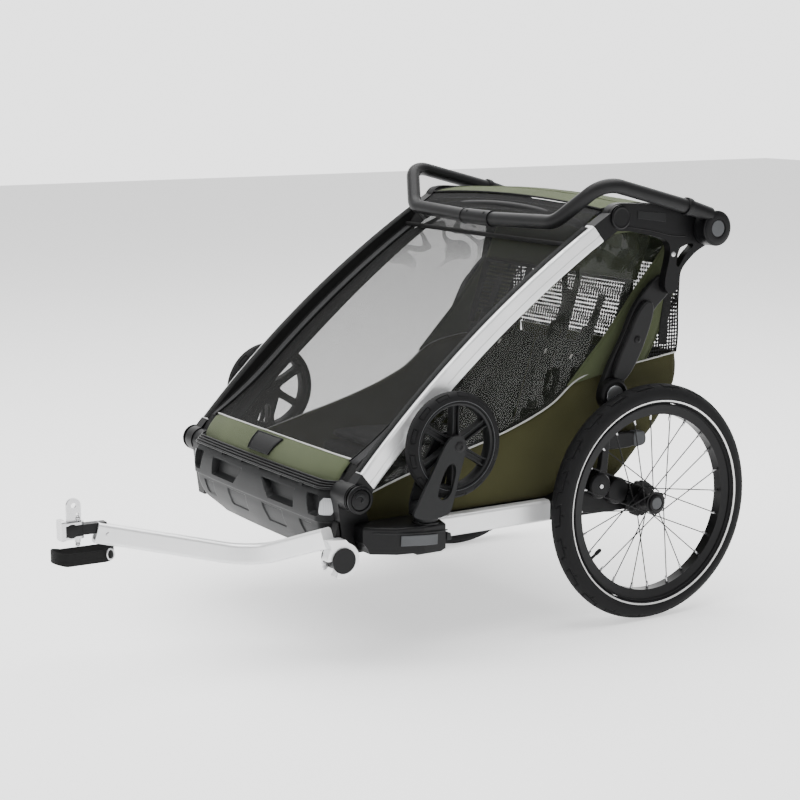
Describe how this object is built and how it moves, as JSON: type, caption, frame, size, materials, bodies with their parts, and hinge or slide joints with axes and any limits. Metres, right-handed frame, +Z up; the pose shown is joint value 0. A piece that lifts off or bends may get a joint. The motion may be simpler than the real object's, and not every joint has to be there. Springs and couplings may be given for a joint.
{
  "type": "child bicycle trailer",
  "caption": "Enclosed child trailer for a bicycle: folding frame, big spoked wheels, tow arm with hitch, turning handlebar and stowed stroller casters.",
  "frame": {"origin": "on the ground, under the centre of the whole trailer's box", "axes": "+X to the trailer's left, -Y to the front where the bicycle is, +Z up"},
  "size_m": [0.8138, 1.4649, 0.9277],
  "materials": {
    "satin_aluminium": "satin",
    "black_plastic": "matt",
    "dark_grey_plastic": "matt",
    "touch_grey": "matt",
    "black_metal": "satin",
    "hub_silver": "satin",
    "steel": "satin",
    "reflector": "gloss",
    "tyre_rubber": "matt",
    "rim_black": "satin",
    "olive_fabric": "matt",
    "mesh_fabric": "matt",
    "charcoal_fabric": "matt",
    "window_film": "gloss",
    "webbing": "matt",
    "floor_plastic": "matt"
  },
  "bodies": {
    "base": {"base_rails": "satin_aluminium", "floor_panel": "floor_plastic", "front_hinge_brackets": "black_plastic", "axle_brackets": "black_plastic", "axle_tube": "black_metal", "wheel_axles": "steel", "lower_struts": "black_metal", "mid_hub_discs": "hub_silver", "base_pivot_pins": "steel", "front_bumper": "dark_grey_plastic", "front_reflectors": "reflector", "caster_docks": "black_plastic", "tow_arm_mount": "black_plastic", "seat_base": "charcoal_fabric", "seat_back": "charcoal_fabric", "harness_straps": "webbing", "side_panels": "olive_fabric", "side_windows": "window_film", "rear_cover": "olive_fabric"},
    "front_frame": {"front_tubes": "satin_aluminium", "front_tube_ends": "black_plastic", "frame_caps": "black_plastic", "front_cross_bar": "black_metal", "front_cover": "mesh_fabric", "front_band": "olive_fabric"},
    "top_link": {"top_side_links": "black_plastic", "roof_cross_tube": "black_metal", "handlebar_detents": "steel", "roof_canopy": "olive_fabric"},
    "rear_strut": {"rear_struts": "black_metal"},
    "handlebar": {"handlebar_housings": "black_plastic", "handlebar_tubes": "black_metal", "handlebar_sleeve": "black_plastic"},
    "brake_pedal": {"brake_pedal": "touch_grey"},
    "tow_arm": {"tow_arm": "satin_aluminium", "tow_arm_yoke": "satin_aluminium", "tow_arm_plug": "black_plastic", "safety_strap": "webbing"},
    "hitch": {"hitch_bracket": "steel", "hitch_pin": "steel"},
    "handlebar_button_left": {"handlebar_button_left": "touch_grey"},
    "wheel_left": {"tyre_left": "tyre_rubber", "rim_left": "rim_black", "spokes_left": "black_metal", "wheel_hub_left": "black_plastic"},
    "wheel_button_left": {"wheel_button_left": "touch_grey"},
    "caster_stem_left": {"caster_stem_left": "steel"},
    "caster_fork_left": {"caster_fork_left": "dark_grey_plastic"},
    "caster_wheel_left": {"caster_wheel_left": "tyre_rubber"},
    "dock_button_left": {"dock_button_left": "touch_grey"},
    "handlebar_button_right": {"handlebar_button_right": "touch_grey"},
    "wheel_right": {"tyre_right": "tyre_rubber", "rim_right": "rim_black", "spokes_right": "black_metal", "wheel_hub_right": "black_plastic"},
    "wheel_button_right": {"wheel_button_right": "touch_grey"},
    "caster_stem_right": {"caster_stem_right": "steel"},
    "caster_fork_right": {"caster_fork_right": "dark_grey_plastic"},
    "caster_wheel_right": {"caster_wheel_right": "tyre_rubber"},
    "dock_button_right": {"dock_button_right": "touch_grey"}
  },
  "joints": [
    {"name": "frame_fold", "type": "hinge", "parent": "base", "child": "front_frame", "pos_m": [0, -0.2185, 0.341], "axis": [-1, 0, 0], "range_deg": [0, 22], "deforming": ["side_panels", "side_windows", "seat_back", "harness_straps", "rear_cover"]},
    {"name": "top_link_turn", "type": "hinge", "parent": "front_frame", "child": "top_link", "pos_m": [0, 0.4045, 0.847], "axis": [1, 0, 0], "range_deg": [0, 10]},
    {"name": "rear_strut_fold", "type": "hinge", "parent": "base", "child": "rear_strut", "pos_m": [0, 0.4075, 0.478], "axis": [-1, 0, 0], "range_deg": [0, 74.5]},
    {"name": "handlebar_turn", "type": "hinge", "parent": "top_link", "child": "handlebar", "pos_m": [0, 0.6405, 0.816], "axis": [-1, 0, 0], "range_deg": [0, 157]},
    {"name": "brake_pedal_press", "type": "hinge", "parent": "base", "child": "brake_pedal", "pos_m": [0.302, 0.3945, 0.376], "axis": [-1, 0, 0], "range_deg": [0, 25]},
    {"name": "tow_arm_swing", "type": "hinge", "parent": "base", "child": "tow_arm", "pos_m": [0.332, -0.2455, 0.222], "axis": [1, 0, 0], "range_deg": [0, 165]},
    {"name": "hitch_yaw", "type": "hinge", "parent": "tow_arm", "child": "hitch", "pos_m": [0.094, -0.6795, 0.29], "axis": [0, 0, 1], "range_deg": [-80, 80]},
    {"name": "handlebar_button_left_press", "type": "slide", "parent": "handlebar", "child": "handlebar_button_left", "axis": [-1, 0, 0], "range_m": [0, 0.003], "stiffness_N_per_m": 600},
    {"name": "wheel_left_spin", "type": "hinge", "parent": "base", "child": "wheel_left", "pos_m": [0.366, 0.4825, 0.25], "axis": [1, 0, 0], "continuous": true},
    {"name": "wheel_button_left_press", "type": "slide", "parent": "wheel_left", "child": "wheel_button_left", "axis": [-1, 0, 0], "range_m": [0, 0.003], "stiffness_N_per_m": 600},
    {"name": "caster_left_lift", "type": "slide", "parent": "base", "child": "caster_stem_left", "axis": [0, 0, 1], "range_m": [0, 0.06]},
    {"name": "caster_left_swivel", "type": "hinge", "parent": "caster_stem_left", "child": "caster_fork_left", "pos_m": [0.38, -0.0825, 0.3], "axis": [0, 0, -1], "range_deg": [0, 15]},
    {"name": "caster_left_spin", "type": "hinge", "parent": "caster_fork_left", "child": "caster_wheel_left", "pos_m": [0.38, -0.0205, 0.429], "axis": [1, 0, 0], "continuous": true},
    {"name": "dock_button_left_press", "type": "slide", "parent": "base", "child": "dock_button_left", "axis": [0, -1, 0], "range_m": [0, 0.003], "stiffness_N_per_m": 500},
    {"name": "handlebar_button_right_press", "type": "slide", "parent": "handlebar", "child": "handlebar_button_right", "axis": [1, 0, 0], "range_m": [0, 0.003], "stiffness_N_per_m": 600},
    {"name": "wheel_right_spin", "type": "hinge", "parent": "base", "child": "wheel_right", "pos_m": [-0.366, 0.4825, 0.25], "axis": [1, 0, 0], "continuous": true},
    {"name": "wheel_button_right_press", "type": "slide", "parent": "wheel_right", "child": "wheel_button_right", "axis": [1, 0, 0], "range_m": [0, 0.003], "stiffness_N_per_m": 600},
    {"name": "caster_right_lift", "type": "slide", "parent": "base", "child": "caster_stem_right", "axis": [0, 0, 1], "range_m": [0, 0.06]},
    {"name": "caster_right_swivel", "type": "hinge", "parent": "caster_stem_right", "child": "caster_fork_right", "pos_m": [-0.38, -0.0825, 0.3], "axis": [0, 0, 1], "range_deg": [0, 15]},
    {"name": "caster_right_spin", "type": "hinge", "parent": "caster_fork_right", "child": "caster_wheel_right", "pos_m": [-0.38, -0.0205, 0.429], "axis": [1, 0, 0], "continuous": true},
    {"name": "dock_button_right_press", "type": "slide", "parent": "base", "child": "dock_button_right", "axis": [0, -1, 0], "range_m": [0, 0.003], "stiffness_N_per_m": 500}
  ],
  "couplings": [
    {"joint": "top_link_turn", "follows": "frame_fold", "ratio": 0.43182},
    {"joint": "rear_strut_fold", "follows": "frame_fold", "ratio": 3.35}
  ]
}
